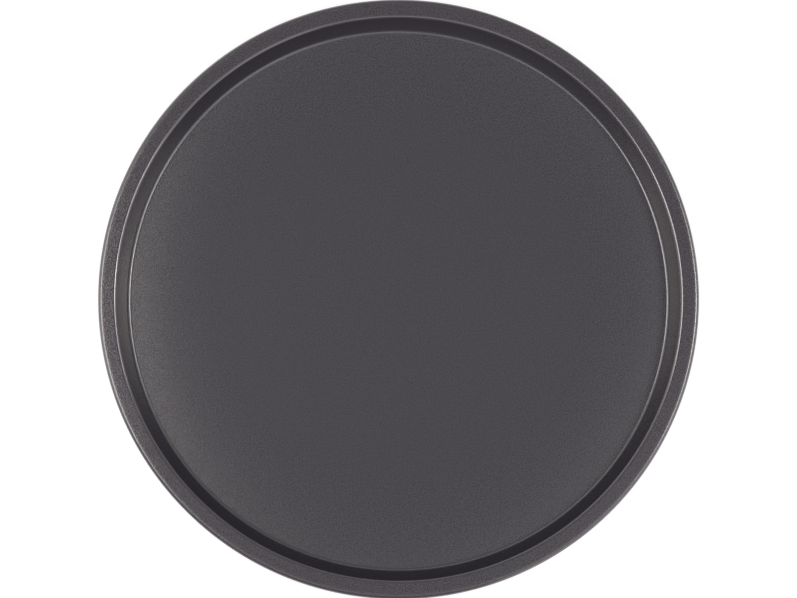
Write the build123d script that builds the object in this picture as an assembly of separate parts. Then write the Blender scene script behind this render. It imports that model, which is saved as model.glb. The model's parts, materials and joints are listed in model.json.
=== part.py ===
from build123d import *
from math import asin, cos, degrees, pi, radians, sin, tan
import os

os.makedirs("parts", exist_ok=True)

# A round pizza pan, pressed from one steel sheet, with a wire rolled into its rim.
# Millimetres. +Z is up, and the origin is the middle of the underside, on the table.
# The cooking side is the sheet's upper side. It runs on over the flange and round the
# outside of the rim, so a depth of zero below is that side, all the way to the cut edge.

# Driving dimensions

overall_diameter = 320.0    # across the outside of the rolled rim
overall_height = 16.0       # from the table to the top of the flange
sheet_thickness = 0.6       # carbon steel with its non-stick coat
flange_width = 8.1          # from the outside of the rim to where the wall bends down
wall_angle = 70.0           # degrees, from the table up to the wall
floor_bend_radius = 2.0     # on the cooking side, between floor and wall
flange_bend_radius = 1.4    # on the underside, between wall and flange

# Rolled rim

wire_diameter = 2.5         # mild steel wire that stiffens the rim
wire_clearance = 0.3        # between the wire and the sheet that wraps it
cut_edge_gap = 0.5          # from the rolled sheet up to the underside of the flange
wire_butt_gap = 0.5         # between the two ends of the bent wire

# Worked-out places

overall_radius = overall_diameter / 2
curl_inner_radius = wire_diameter / 2 + wire_clearance
curl_outer_radius = curl_inner_radius + sheet_thickness
rim_radius = overall_radius - curl_outer_radius
rim_height = overall_height - curl_outer_radius
wire_butt_angle = degrees(wire_butt_gap / rim_radius)

# The rolled sheet starts at the top of the rim, goes out, down and in, and comes up again
# on the inner side until its outer face is the cut edge's gap below the flange.

quarter_turn = 90.0
full_turn = 360.0
cut_edge_rise = degrees(asin((curl_inner_radius - cut_edge_gap) / curl_outer_radius))
curl_turn = 3 * quarter_turn + cut_edge_rise

# Two bends and the straight wall between them take the sheet from floor to flange.

bend_radii = floor_bend_radius + flange_bend_radius + sheet_thickness
slope = radians(wall_angle)
wall_rise = overall_height - sheet_thickness - bend_radii * (1 - cos(slope))
wall_run = wall_rise / tan(slope)
flange_start_radius = overall_radius - flange_width
floor_flat_radius = flange_start_radius - bend_radii * sin(slope) - wall_run
floor_bend_height = sheet_thickness + floor_bend_radius
flange_bend_height = overall_height - sheet_thickness - flange_bend_radius


def sheet_face_line(depth):
    """Section of one face of the sheet, this deep below the cooking side, axis to cut edge."""
    floor_centre = (floor_flat_radius, floor_bend_height)
    flange_centre = (flange_start_radius, flange_bend_height)
    rim_centre = (rim_radius, rim_height)
    upper_bend_radius = flange_bend_radius + sheet_thickness - depth
    floor_bend = CenterArc(floor_centre, floor_bend_radius + depth, -quarter_turn, wall_angle)
    flange_bend = CenterArc(flange_centre, upper_bend_radius, quarter_turn + wall_angle, -wall_angle)
    curl = CenterArc(rim_centre, curl_outer_radius - depth, quarter_turn, -curl_turn)
    floor = Line((0, sheet_thickness - depth), floor_bend @ 0)
    wall = Line(floor_bend @ 1, flange_bend @ 0)
    flange = Line(flange_bend @ 1, curl @ 0)
    return [floor, floor_bend, wall, flange_bend, flange, curl]


def pan_shell():
    """The whole pressing: floor, wall, flange and rolled rim in one sheet."""
    cooking_side = sheet_face_line(0)
    underside = sheet_face_line(sheet_thickness)
    centre_line = Line(cooking_side[0] @ 0, underside[0] @ 0)
    cut_edge = Line(cooking_side[-1] @ 1, underside[-1] @ 1)
    section = make_face(cooking_side + [cut_edge] + underside + [centre_line])
    return revolve(Plane.XZ * section, Axis.Z)


def rim_wire():
    """The wire inside the rolled rim: a ring that isn't joined, with its butt at the back."""
    section = Plane.XZ * Pos(rim_radius, rim_height) * Circle(wire_diameter / 2)
    ring = revolve(section, Axis.Z, full_turn - wire_butt_angle)
    return Rot(Z=quarter_turn + wire_butt_angle / 2) * ring


nodes = {
    "pan_shell": pan_shell(),
    "rim_wire": rim_wire(),
}

for name, solid in nodes.items():
    export_step(solid, f"parts/{name}.step")

print(f"floor is flat to radius {floor_flat_radius:.2f}, flange from {flange_start_radius:.2f}")
print(f"wall climbs {wall_rise:.2f} over {wall_run:.2f}, rim centre {rim_radius:.2f}, {rim_height:.2f}")
print(f"rim rolls through {curl_turn:.1f} degrees, wire is {2 * pi * rim_radius - wire_butt_gap:.1f} long")
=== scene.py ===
# %% [markdown]
# # A non-stick pizza pan
# The real pan is one disc of thin carbon steel. A press draws it into a shallow tray with a flat
# floor, a low steep wall and a flat flange. A rolling tool then curls the flange's edge round a
# steel wire, and the whole sheet is sprayed with a dark non-stick coat and baked.
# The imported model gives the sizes, and this lesson gives the pan its finished surface.

# %% Load the frame
import json
from math import asin, cos, degrees, pi, radians, sin, tan

import bmesh
import bpy
from mathutils import Matrix, Vector


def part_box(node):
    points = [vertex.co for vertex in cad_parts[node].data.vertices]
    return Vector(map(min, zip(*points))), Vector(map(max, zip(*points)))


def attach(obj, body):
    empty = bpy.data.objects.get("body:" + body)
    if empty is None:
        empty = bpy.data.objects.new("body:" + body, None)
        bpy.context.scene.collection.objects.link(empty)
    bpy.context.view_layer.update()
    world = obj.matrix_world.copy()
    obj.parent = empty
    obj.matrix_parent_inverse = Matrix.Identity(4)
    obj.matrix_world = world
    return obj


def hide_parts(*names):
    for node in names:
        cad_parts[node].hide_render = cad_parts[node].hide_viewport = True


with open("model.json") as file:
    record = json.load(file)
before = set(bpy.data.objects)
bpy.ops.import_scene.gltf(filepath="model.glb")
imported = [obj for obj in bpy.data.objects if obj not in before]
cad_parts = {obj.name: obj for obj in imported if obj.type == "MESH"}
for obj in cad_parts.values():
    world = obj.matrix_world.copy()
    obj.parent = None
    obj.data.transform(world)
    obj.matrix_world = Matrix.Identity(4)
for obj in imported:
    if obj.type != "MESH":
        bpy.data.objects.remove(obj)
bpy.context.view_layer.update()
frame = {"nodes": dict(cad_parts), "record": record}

# %% [markdown]
# ## Sizes
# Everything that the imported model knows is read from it: the outer size, the height of the rim's
# middle, which is the wire's, and the thickness of the sheet, which is the height of the cooking
# surface. Only the flange's width, the wall's angle, the two bends and the gap at the cut edge are
# written here, because a box can't tell them. All of it is in metres.

# %% Sizes
MM = 0.001

shell_low, shell_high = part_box("pan_shell")
wire_low, wire_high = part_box("rim_wire")
mounts = {mount["name"]: mount for mount in frame["record"]["mounts"]}

sheet_thickness = mounts["cooking_surface"]["pos_m"][2]
flange_height = shell_high.z
rim_height = (wire_low.z + wire_high.z) / 2
curl_radius = flange_height - rim_height
rim_radius = shell_high.x - curl_radius

flange_width = 8.1 * MM
floor_bend_radius = 2.0 * MM      # on the cooking side
flange_bend_radius = 2.0 * MM     # on the cooking side, so one sheet more than underneath
wall_angle = radians(70)
cut_edge_gap = 0.5 * MM           # from the curl up to the underside of the flange

both_bends = floor_bend_radius + flange_bend_radius
wall_rise = flange_height - sheet_thickness - both_bends * (1 - cos(wall_angle))
flange_start = shell_high.x - flange_width
floor_edge = flange_start - both_bends * sin(wall_angle) - wall_rise / tan(wall_angle)
print(f"sheet {sheet_thickness / MM:.2f} mm, floor flat to {floor_edge / MM:.2f} mm")

# %% [markdown]
# ## The pressed sheet
# The pan is a solid of revolution, so its whole shape is one line: the section of its cooking
# side, from the middle of the floor to the cut edge inside the rolled rim. It could start as a
# cylinder with beveled edges, but a bevel can't roll a rim. So the line is drawn as a draughtsman
# would draw it, straight runs with a ruler and bends with a compass, and it is then spun round the
# pan's axis. Solidify lays the steel on the side away from the food.

# %% Ruler and compass
def ruler(mesh, tip, end, steps=1):
    """Extrudes the line's tip to end in equal steps, and returns the new tip."""
    start = tip.co.copy()
    for step in range(steps):
        tip = bmesh.ops.extrude_vert_indiv(mesh, verts=[tip])["verts"][0]
        tip.co = start.lerp(Vector(end), (step + 1) / steps)
    return tip


def compass(mesh, tip, centre, turn, steps):
    """Spins the line's tip about centre, upwards where turn is positive, and returns the new tip."""
    made = bmesh.ops.spin(mesh, geom=[tip], cent=centre, axis=(0, -1, 0), angle=turn, steps=steps)
    return next(item for item in made["geom_last"] if isinstance(item, bmesh.types.BMVert))


# %% [markdown]
# A flat face that runs straight into a bend needs a ring of edges just before it. Without the
# ring, smooth shading starts to turn in the middle of the flat and a flat floor looks domed.

# %% The section's line
hold = 0.25 * MM                  # from a bend to the ring that holds the flat beside it
bend_steps = 14
curl_steps = 40
cut_edge_rise = asin((curl_radius - sheet_thickness - cut_edge_gap) / curl_radius)
curl_turn = 1.5 * pi + cut_edge_rise
print(f"wall climbs {wall_rise / MM:.2f} mm, rim rolls through {degrees(curl_turn):.1f} degrees")


def draw_section():
    """The cooking side of the sheet as a chain of edges, from the middle to the cut edge."""
    mesh = bmesh.new()
    tip = bmesh.ops.create_vert(mesh, co=(0, 0, sheet_thickness))["vert"][0]
    tip = ruler(mesh, tip, (floor_edge - hold, 0, sheet_thickness), steps=5)
    tip = ruler(mesh, tip, (floor_edge, 0, sheet_thickness))
    floor_centre = (floor_edge, 0, sheet_thickness + floor_bend_radius)
    tip = compass(mesh, tip, floor_centre, wall_angle, bend_steps)
    foot = tip.co.copy()
    lean = Vector((cos(wall_angle), 0, sin(wall_angle)))
    flange_centre = Vector((flange_start, 0, flange_height - flange_bend_radius))
    head = flange_centre + flange_bend_radius * Vector((-lean.z, 0, lean.x))
    tip = ruler(mesh, tip, foot + hold * lean)
    tip = ruler(mesh, tip, head - hold * lean, steps=2)
    tip = ruler(mesh, tip, head)
    tip = compass(mesh, tip, flange_centre, -wall_angle, bend_steps)
    tip = ruler(mesh, tip, (flange_start + hold, 0, flange_height))
    tip = ruler(mesh, tip, (rim_radius - hold, 0, flange_height), steps=2)
    tip = ruler(mesh, tip, (rim_radius, 0, flange_height))
    compass(mesh, tip, (rim_radius, 0, rim_height), -curl_turn, curl_steps)
    return mesh


# %% [markdown]
# A full spin with use_merge joins its last ring to its first. The middle of the floor is still as
# many points as there are steps, so they are merged, and the normals are made to agree before
# Solidify uses them to tell which side the steel is on.

# %% Spin it and give it thickness
spin_steps = 384
same_point = 0.001 * MM


def new_piece(name, mesh):
    """Turns a bmesh into an object of the scene, with smooth faces."""
    data = bpy.data.meshes.new(name)
    for face in mesh.faces:
        face.smooth = True
    mesh.to_mesh(data)
    mesh.free()
    piece = bpy.data.objects.new(name, data)
    bpy.context.scene.collection.objects.link(piece)
    return piece


def pressed_sheet():
    """The pan's sheet as one closed skin: floor, wall, flange and rolled rim."""
    mesh = draw_section()
    line = mesh.verts[:] + mesh.edges[:]
    bmesh.ops.spin(
        mesh, geom=line, cent=(0, 0, 0), axis=(0, 0, 1), angle=2 * pi, steps=spin_steps, use_merge=True
    )
    bmesh.ops.remove_doubles(mesh, verts=mesh.verts[:], dist=same_point)
    bmesh.ops.recalc_face_normals(mesh, faces=mesh.faces[:])
    floor_face = min(mesh.faces, key=lambda face: face.calc_center_median().length)
    if floor_face.normal.z < 0:
        bmesh.ops.reverse_faces(mesh, faces=mesh.faces[:])
    wall_foot = floor_edge + floor_bend_radius * sin(wall_angle)
    wall_head = flange_start - flange_bend_radius * sin(wall_angle)
    for face in mesh.faces:
        if wall_foot < face.calc_center_median().xy.length < wall_head:
            face.material_index = 1
    piece = new_piece("pressed_sheet", mesh)
    steel = piece.modifiers.new("steel", "SOLIDIFY")
    steel.thickness = sheet_thickness
    steel.offset = -1
    steel.use_even_offset = True
    return piece


pan = pressed_sheet()
print("pressed sheet:", len(pan.data.vertices), "points before its thickness")

# %% [markdown]
# ## Materials
# Colours are written as a paint chart gives them, in sRGB hex, and one function turns them into
# the linear values that a shader works in. One more function adds a node with its settings and
# its links, so that each material below reads from top to bottom.

# %% Colour and node helpers
def linear(hex_colour):
    """An sRGB hex colour such as 'a0a0a4' as linear red, green, blue and alpha."""
    shares = [int(hex_colour[place:place + 2], 16) / 255 for place in (0, 2, 4)]
    return [s / 12.92 if s <= 0.04045 else ((s + 0.055) / 1.055) ** 2.4 for s in shares] + [1]


def add_node(tree, kind, settings=None, inputs=None):
    """Adds a node, with its settings by name and its inputs as values or as links."""
    node = tree.nodes.new(kind)
    for name, value in (settings or {}).items():
        setattr(node, name, value)
    for key, value in (inputs or {}).items():
        if isinstance(value, bpy.types.NodeSocket):
            tree.links.new(value, node.inputs[key])
        else:
            node.inputs[key].default_value = value
    return node


def new_material(name):
    """An empty node material, and its tree."""
    material = bpy.data.materials.new(name)
    material.use_nodes = True
    material.node_tree.nodes.clear()
    return material, material.node_tree


# %% [markdown]
# ## Non-stick coat
# The coat is PTFE with carbon black and a little metal flake. It is sprayed on grit-blasted steel
# and baked, which gives the eye a dark, faintly violet grey with a satin sheen and a fine pebbled
# skin. Spray builds up beside the wall, so most of what follows changes with the distance from
# the pan's axis. That is worked out once, from the object's own coordinates, without their height.

# %% Distance from the axis
def distance_from_axis(tree, place):
    """How far a point of the pan lies from its axis."""
    flat_place = add_node(
        tree, "ShaderNodeVectorMath", {"operation": "MULTIPLY"}, {0: place, 1: (1, 1, 0)}
    ).outputs["Vector"]
    return add_node(
        tree, "ShaderNodeVectorMath", {"operation": "LENGTH"}, {0: flat_place}
    ).outputs["Value"]


# %% [markdown]
# Real relief would take far too many points for the pebbling, so a noise bumps the surface. Its
# grain is drawn a little coarser than the real one, so that it still shows. The pebbling grows
# towards the wall, and it stops where the sheet bends away from level, because a stretched skin
# is smooth.

# %% Pebbled skin
grain_size = 0.55 * MM
grain_depth = 0.065 * MM
even_radius = 85 * MM             # the spray is even out to here
middle_pebbling = 0.32            # as a share of the pebbling beside the wall
level_within = radians(2)         # fully pebbled where the sheet is this near to level
smooth_beyond = radians(10)


def pebbled_skin(tree, points, radius):
    """The grain of the skin, and how strongly it is pebbled at a point."""
    build_up = add_node(
        tree, "ShaderNodeMapRange", {"interpolation_type": "SMOOTHSTEP"},
        {"Value": radius, "From Min": even_radius, "From Max": floor_edge},
    ).outputs["Result"]
    pebbling = add_node(
        tree, "ShaderNodeMapRange", None,
        {"Value": build_up, "To Min": middle_pebbling, "To Max": 1.0},
    ).outputs["Result"]
    level = add_node(
        tree, "ShaderNodeVectorMath", {"operation": "DOT_PRODUCT"},
        {0: points.outputs["Normal"], 1: (0, 0, 1)},
    ).outputs["Value"]
    level = add_node(tree, "ShaderNodeMath", {"operation": "ABSOLUTE"}, {0: level}).outputs[0]
    flatness = add_node(
        tree, "ShaderNodeMapRange", {"interpolation_type": "SMOOTHSTEP"},
        {"Value": level, "From Min": cos(smooth_beyond), "From Max": cos(level_within)},
    ).outputs["Result"]
    pebbling = add_node(
        tree, "ShaderNodeMath", {"operation": "MULTIPLY"}, {0: pebbling, 1: flatness}
    ).outputs[0]
    grain = add_node(
        tree, "ShaderNodeTexNoise", None,
        {
            "Vector": points.outputs["Object"], "Scale": 1 / grain_size,
            "Detail": 1.0, "Roughness": 0.5,
        },
    ).outputs["Fac"]
    return grain, pebbling


print(f"grain {grain_size / MM:.2f} mm wide, up to {grain_depth / MM:.3f} mm deep")

# %% [markdown]
# Bump alone leaves the skin too even, because on the real one the flake sits on the crests. So the
# same grain also speckles the colour, as strongly as it is pebbled. The coat is a little lighter
# on the flange, where the blasted steel shows through more.

# %% Speckled colour
dip_on_floor, dip_on_flange = "2f2d33", "322f34"
crest_on_floor, crest_on_flange = "53505a", "57525b"
speckle_contrast = 5.0
middle_grain = 0.5                # the noise's own mean


def speckled_colour(tree, grain, pebbling, radius):
    """Carbon black in the dips and flake on the crests of the grain."""
    on_flange = add_node(
        tree, "ShaderNodeMapRange", None,
        {"Value": radius, "From Min": floor_edge, "From Max": flange_start},
    ).outputs["Result"]
    dips = add_node(
        tree, "ShaderNodeMix", {"data_type": "RGBA"},
        {0: on_flange, 6: linear(dip_on_floor), 7: linear(dip_on_flange)},
    ).outputs[2]
    crests = add_node(
        tree, "ShaderNodeMix", {"data_type": "RGBA"},
        {0: on_flange, 6: linear(crest_on_floor), 7: linear(crest_on_flange)},
    ).outputs[2]
    speckle = add_node(
        tree, "ShaderNodeMath", {"operation": "SUBTRACT"}, {0: grain, 1: middle_grain}
    ).outputs[0]
    speckle = add_node(
        tree, "ShaderNodeMath", {"operation": "MULTIPLY"}, {0: speckle, 1: pebbling}
    ).outputs[0]
    speckle = add_node(
        tree, "ShaderNodeMath", {"operation": "MULTIPLY_ADD", "use_clamp": True},
        {0: speckle, 1: speckle_contrast, 2: middle_grain},
    ).outputs[0]
    return add_node(
        tree, "ShaderNodeMix", {"data_type": "RGBA"}, {0: speckle, 6: dips, 7: crests}
    ).outputs[2]


print("speckle: dips", dip_on_floor, "to", dip_on_flange, "crests", crest_on_floor, "to", crest_on_flange)

# %% [markdown]
# The roughness could be one number, but on the pan the sheen changes from ring to ring: satin in
# the middle, duller by the wall, smoothest on the flange, and dullest over the rim, where the
# roller has scuffed it. A colour ramp holds such a profile in one node.

# %% Roughness from ring to ring
scuff_start = rim_radius - 1.2 * MM
roughness_profile = [
    (0, 0.18), (0.7 * floor_edge, 0.18), (0.87 * floor_edge, 0.205), (floor_edge, 0.25),
    (flange_start, 0.14), (scuff_start, 0.14), (rim_radius, 0.28), (shell_high.x, 0.34),
]


def sprayed_roughness(tree, radius):
    """The roughness profile along the radius, read from a colour ramp."""
    share = add_node(
        tree, "ShaderNodeMath", {"operation": "DIVIDE"}, {0: radius, 1: shell_high.x}
    ).outputs[0]
    profile = add_node(tree, "ShaderNodeValToRGB", None, {"Fac": share})
    stops = profile.color_ramp.elements
    for distance_out, level in roughness_profile[1:-1]:
        stops.new(distance_out / shell_high.x)
    for stop, (distance_out, level) in zip(stops, roughness_profile):
        stop.color = (level, level, level, 1)
    return profile.outputs["Color"]


for distance_out, level in roughness_profile:
    print(f"roughness {level:.3f} at {distance_out / MM:.1f} mm")

# %% [markdown]
# A metallic shader would tint the highlights, and on the pan they are white, so the coat is a
# dielectric. Its IOR starts at plain PTFE's 1.35. The flake sends back more light than that, so it
# is raised until the lines along the bends are as bright as on the pan.

# %% Coat material
def nonstick_coat():
    """Sprayed and baked PTFE coat: satin, pebbled on the flats, more so towards the wall."""
    material, tree = new_material("sprayed_ptfe_coat")
    points = add_node(tree, "ShaderNodeTexCoord")
    radius = distance_from_axis(tree, points.outputs["Object"])
    grain, pebbling = pebbled_skin(tree, points, radius)
    bump = add_node(
        tree, "ShaderNodeBump", None,
        {"Strength": pebbling, "Distance": grain_depth, "Height": grain},
    ).outputs["Normal"]
    shader = add_node(
        tree, "ShaderNodeBsdfPrincipled", None,
        {
            "Base Color": speckled_colour(tree, grain, pebbling, radius),
            "Roughness": sprayed_roughness(tree, radius), "Normal": bump,
            "IOR": 2.26, "Specular Tint": linear("fffafb"),
        },
    )
    add_node(tree, "ShaderNodeOutputMaterial", None, {"Surface": shader.outputs[0]})
    return material


pan.data.materials.append(nonstick_coat())
print("floor, flange and rim:", pan.data.materials[0].name)

# %% [markdown]
# ## Drawn wall
# The press draws the wall out of the flat sheet, so its coat is stretched thin and smooth. It
# mirrors less light than the flaked coat, as plain PTFE over a primer does, and towards the
# flange, where it is stretched most, it is duller. Its colour is painted light and shade: lighter at
# the foot and darker towards the flange. One material could blend both by height, but a second
# one on the wall's faces is easier to read, and the two meet in the bends, where the lines of light
# hide the change.

# %% Wall material
# Painted light and shade: the wall's colour is lighter at its foot and darker at its head.
painted_lit_foot, painted_shaded_head = "35313a", "2b2730"
foot_roughness, head_roughness = 0.07, 0.27


def drawn_coat():
    """The same coat where the wall's drawing has stretched it thin and smooth, with painted shade from
    foot to head.
    """
    material, tree = new_material("stretched_ptfe_coat")
    place = add_node(tree, "ShaderNodeTexCoord").outputs["Object"]
    height = add_node(
        tree, "ShaderNodeVectorMath", {"operation": "DOT_PRODUCT"}, {0: place, 1: (0, 0, 1)}
    ).outputs["Value"]
    thinning_and_painted_shade = add_node(
        tree, "ShaderNodeMapRange", None,
        {
            "Value": height, "From Min": floor_bend_radius,
            "From Max": flange_height - flange_bend_radius,
        },
    ).outputs["Result"]
    # Painted shade: the colour runs from the lighter foot to the darker head.
    colour = add_node(
        tree, "ShaderNodeMix", {"data_type": "RGBA"},
        {0: thinning_and_painted_shade, 6: linear(painted_lit_foot), 7: linear(painted_shaded_head)},
    ).outputs[2]
    roughness = add_node(
        tree, "ShaderNodeMapRange", None,
        {"Value": thinning_and_painted_shade, "To Min": foot_roughness, "To Max": head_roughness},
    ).outputs["Result"]
    shader = add_node(
        tree, "ShaderNodeBsdfPrincipled", None,
        {
            "Base Color": colour, "Roughness": roughness,
            "IOR": 1.5, "Specular Tint": linear("fff9f1"),
        },
    )
    add_node(tree, "ShaderNodeOutputMaterial", None, {"Surface": shader.outputs[0]})
    return material


pan.data.materials.append(drawn_coat())
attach(pan, "root")
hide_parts("pan_shell")
print("wall:", pan.data.materials[1].name)

# %% [markdown]
# ## Rim wire
# Mild steel wire is drawn through a die, which leaves it bright grey, and the oven that bakes the
# coat dulls it unevenly. It could be left out of the picture, because it only shows from below,
# through the narrow gap beside the cut edge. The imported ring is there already, so it is used as
# it is, and a noise varies its colour and its gloss together, in patches half as wide as the wire.

# %% Wire material
patch_size = 1.2 * MM


def drawn_wire():
    """Bare mild steel wire, dulled a little by the coat's oven."""
    material, tree = new_material("drawn_mild_steel")
    place = add_node(tree, "ShaderNodeTexCoord").outputs["Object"]
    patches = add_node(
        tree, "ShaderNodeTexNoise", None, {"Vector": place, "Scale": 1 / patch_size, "Detail": 3.0}
    ).outputs["Fac"]
    colour = add_node(
        tree, "ShaderNodeMix", {"data_type": "RGBA"},
        {0: patches, 6: linear("7c7a78"), 7: linear("a3a19e")},
    ).outputs[2]
    roughness = add_node(
        tree, "ShaderNodeMapRange", None, {"Value": patches, "To Min": 0.3, "To Max": 0.5}
    ).outputs["Result"]
    shader = add_node(
        tree, "ShaderNodeBsdfPrincipled", None,
        {"Base Color": colour, "Metallic": 1.0, "Roughness": roughness},
    )
    add_node(tree, "ShaderNodeOutputMaterial", None, {"Surface": shader.outputs[0]})
    return material


wire = frame["nodes"]["rim_wire"]
wire.data.materials.clear()
wire.data.materials.append(drawn_wire())
print("wire:", wire.data.materials[0].name, "on", len(wire.data.polygons), "faces")

# %% [markdown]
# ## White sweep
# The pan lies on white paper. Under lamps that suit the pan the paper comes out light grey, and
# more light would burn out the pan. So to the camera and in reflections it glows over a darker
# shade of itself, which makes it white and still shows the pan's shadow.
#
# The paper is one-sided, so that the pan can be looked at from below. A ray that meets it within
# half a millimetre comes from the pan's own underside, and passes too, so the room can light it.

# %% White sweep
paper_glow = 0.9
reach_below_pan = 0.5 * MM
sweep_radius = 8.0


def white_sweep():
    """Matt white paper that reads as white to the camera and keeps a faint shadow."""
    material, tree = new_material("white_paper")
    rays = add_node(tree, "ShaderNodeLightPath")
    seen = add_node(
        tree, "ShaderNodeMath", {"operation": "MAXIMUM"},
        {0: rays.outputs["Is Camera Ray"], 1: rays.outputs["Is Glossy Ray"]},
    ).outputs[0]
    paper = add_node(tree, "ShaderNodeBsdfDiffuse", None, {"Color": linear("e8e8e8")}).outputs[0]
    shade = add_node(tree, "ShaderNodeBsdfDiffuse", None, {"Color": linear("787878")}).outputs[0]
    glow = add_node(
        tree, "ShaderNodeEmission", None, {"Color": linear("ffffff"), "Strength": paper_glow}
    ).outputs[0]
    lit = add_node(tree, "ShaderNodeAddShader", None, {0: shade, 1: glow}).outputs[0]
    upper_side = add_node(tree, "ShaderNodeMixShader", None, {0: seen, 1: paper, 2: lit}).outputs[0]
    touching = add_node(
        tree, "ShaderNodeMath", {"operation": "LESS_THAN"},
        {0: rays.outputs["Ray Length"], 1: reach_below_pan},
    ).outputs[0]
    backfacing = add_node(tree, "ShaderNodeNewGeometry").outputs["Backfacing"]
    gone = add_node(
        tree, "ShaderNodeMath", {"operation": "MAXIMUM"}, {0: touching, 1: backfacing}
    ).outputs[0]
    clear = add_node(tree, "ShaderNodeBsdfTransparent").outputs[0]
    one_sided = add_node(tree, "ShaderNodeMixShader", None, {0: gone, 1: upper_side, 2: clear})
    add_node(tree, "ShaderNodeOutputMaterial", None, {"Surface": one_sided.outputs[0]})
    return material


just_below = Matrix.Translation((0, 0, -0.05 * MM))
sweep_mesh = bmesh.new()
bmesh.ops.create_circle(
    sweep_mesh, cap_ends=True, radius=sweep_radius, segments=64, matrix=just_below
)
sweep = new_piece("sweep", sweep_mesh)
sweep.data.materials.append(white_sweep())
print("sweep:", [round(side, 2) for side in sweep.dimensions], "m")

# %% [markdown]
# ## Light
# Large softboxes stand left and right. Each draws a bright line along the two bends on the far side
# of the pan and along the rolled rim beside it, which shows the eye where the sheet turns. They
# stand at the height from which the floor mirrors them into the steep wall opposite, and the wall
# sends that on to the camera. A small warm lamp before the right one makes the glow on the left
# wall, and two weak wide ones fill in from the front left and the front right. A level is how
# bright a lamp's face is, where 1 is white, and together they are at the level at which a colour
# renders about as it is written.

# %% Softboxes
watts_for_white = 4               # for each square metre of a lamp's face, at level 1


def softbox(name, azimuth, polar, distance, width, height, level, tint="ffffff"):
    """A lit rectangle aimed at the pan, at azimuth from +X and polar from straight up."""
    a, p = radians(azimuth), radians(polar)
    back = Vector((sin(p) * cos(a), sin(p) * sin(a), cos(p)))
    lamp = bpy.data.lights.new(name, "AREA")
    lamp.shape = "RECTANGLE"
    lamp.size, lamp.size_y = width, height
    lamp.energy = level * width * height * watts_for_white
    lamp.color = linear(tint)[:3]
    holder = bpy.data.objects.new(name, lamp)
    turn = back.to_track_quat("Z", "Y").to_matrix().to_4x4()
    holder.matrix_world = Matrix.Translation(back * distance) @ turn
    bpy.context.scene.collection.objects.link(holder)
    print(f"{name}: {lamp.energy:.2f} W at {distance} m")


softbox(
    "left_softbox", azimuth=182, polar=36, distance=0.8, width=0.43, height=0.36, level=3.3,
    tint="fffdf7",
)
softbox("right_softbox", azimuth=358, polar=38.5, distance=1.3, width=0.78, height=0.30, level=4.2)
softbox(
    "modelling_lamp", azimuth=3, polar=38.5, distance=1.25, width=0.12, height=0.14, level=16,
    tint="fffbec",
)
softbox("front_left_fill", azimuth=222, polar=28, distance=1.3, width=0.8, height=0.6, level=0.30)
softbox("front_right_fill", azimuth=322, polar=28, distance=1.3, width=0.8, height=0.6, level=0.43)

# %% [markdown]
# ## Black flag
# A photographer keeps a rim from melting into a white background with a black card just outside
# the picture, which the rim mirrors as a dark edge. A darker room would do it too, but it would
# dim the lines on the far side of the pan as well. The card stands close to the front of the rim,
# hidden from the camera, and it takes no light from the paper and casts no shadow on it.

# %% Black flag
def black_flag(azimuth, distance, width, bottom, top):
    """A black card in front of the rim, which the camera itself doesn't see."""
    a = radians(azimuth)
    facing_pan = Matrix.Rotation(a, 4, "Z") @ Matrix.Rotation(radians(90), 4, "Y")
    place = Matrix.Translation((distance * cos(a), distance * sin(a), (bottom + top) / 2)) @ facing_pan
    stretch = Matrix.Diagonal(((top - bottom) / 2, width / 2, 1, 1))
    mesh = bmesh.new()
    bmesh.ops.create_grid(mesh, x_segments=1, y_segments=1, size=1, matrix=place @ stretch)
    flag = new_piece("black_flag", mesh)
    material, tree = new_material("black_felt")
    felt = add_node(tree, "ShaderNodeBsdfDiffuse", None, {"Color": linear("1a1a1a")})
    add_node(tree, "ShaderNodeOutputMaterial", None, {"Surface": felt.outputs[0]})
    flag.data.materials.append(material)
    flag.visible_camera = flag.visible_diffuse = flag.visible_shadow = False
    return flag


flag = black_flag(azimuth=243, distance=0.26, width=0.56, bottom=0.015, top=0.17)
print("flag:", [round(side, 2) for side in flag.dimensions], "m")

# %% [markdown]
# ## Room
# The bends mirror the whole room, so the room shapes their lines as much as the lamps do. An
# image of a studio could light the pan, but a few nodes on the direction of a ray are enough. The
# walls are white. Overhead is dark, as it is round a camera that looks straight down, and the dark
# part leans to one side, which makes the lines unequal round the pan. Below the table the room
# grows darker. The camera itself sees white, as the background beyond the sweep.

# %% World
ceiling_azimuth = radians(58)
ceiling_tilt = radians(18)
dark_within, white_beyond = radians(60), radians(68)
ceiling_level = 0.163             # where 1 is white
level_underfoot = 0.3
ceiling_axis = Vector((
    sin(ceiling_tilt) * cos(ceiling_azimuth), sin(ceiling_tilt) * sin(ceiling_azimuth), cos(ceiling_tilt)
))

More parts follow.
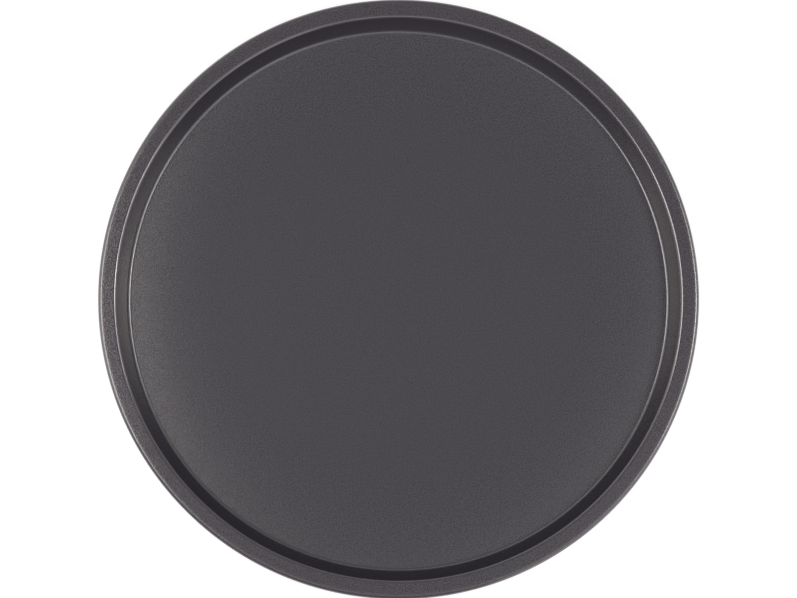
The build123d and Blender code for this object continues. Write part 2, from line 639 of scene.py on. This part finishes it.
world = bpy.data.worlds.new("studio")
world.use_nodes = True
tree = world.node_tree
tree.nodes.clear()
direction = add_node(tree, "ShaderNodeTexCoord").outputs["Generated"]
facing = add_node(
    tree, "ShaderNodeVectorMath", {"operation": "DOT_PRODUCT"}, {0: direction, 1: ceiling_axis}
).outputs["Value"]
brightness = add_node(
    tree, "ShaderNodeMapRange", {"interpolation_type": "SMOOTHSTEP"},
    {
        "Value": facing, "From Min": cos(white_beyond), "From Max": cos(dark_within),
        "To Min": 1.0, "To Max": ceiling_level,
    },
).outputs["Result"]
height = add_node(
    tree, "ShaderNodeVectorMath", {"operation": "DOT_PRODUCT"}, {0: direction, 1: (0, 0, 1)}
).outputs["Value"]
below = add_node(
    tree, "ShaderNodeMapRange", {"interpolation_type": "SMOOTHSTEP"},
    {"Value": height, "From Min": -1.0, "From Max": 0.0, "To Min": level_underfoot, "To Max": 1.0},
).outputs["Result"]
brightness = add_node(
    tree, "ShaderNodeMath", {"operation": "MULTIPLY"}, {0: brightness, 1: below}
).outputs[0]
seen = add_node(tree, "ShaderNodeLightPath").outputs["Is Camera Ray"]
brightness = add_node(
    tree, "ShaderNodeMath", {"operation": "MAXIMUM"}, {0: brightness, 1: seen}
).outputs[0]
room = add_node(tree, "ShaderNodeBackground", None, {"Color": linear("ffffff"), "Strength": brightness})
add_node(tree, "ShaderNodeOutputWorld", None, {"Surface": room.outputs[0]})
bpy.context.scene.world = world
print(f"room: dark overhead, leaning {degrees(ceiling_tilt):.0f} degrees to one side")

# %% [markdown]
# ## Camera
# The picture is taken from almost straight above through a long lens, so near and far rims come
# out the same size. The tilt and the lean follow from the rings of rim, flange and floor, which
# lie at different heights, so that their centres don't quite meet in the picture. A constraint
# could aim the camera, but it wouldn't hold the picture upright from straight above.

# %% Camera
def aim(back):
    """A rotation that looks along -back, with +Y up in the picture."""
    right = Vector((0, 1, 0)).cross(back).normalized()
    up = back.cross(right)
    return Matrix((right, up, back)).transposed()


camera_distance = 1.6
camera_tilt = radians(3.67)
camera_lean = radians(-0.34)
aim_point = Vector((-0.13 * MM, -0.80 * MM, 15 * MM))

back = Vector((sin(camera_lean), -sin(camera_tilt), 0))
back.z = (1 - back.length_squared) ** 0.5
camera_data = bpy.data.cameras.new("camera")
camera_data.sensor_width = 36
camera_data.lens = 135.8
camera = bpy.data.objects.new("camera", camera_data)
camera.matrix_world = Matrix.Translation(aim_point + back * camera_distance) @ aim(back).to_4x4()
bpy.context.scene.collection.objects.link(camera)
bpy.context.scene.camera = camera
bpy.context.scene.view_settings.view_transform = "Standard"
print(f"camera: {camera_distance} m from the pan, {camera_data.lens:.1f} mm lens")
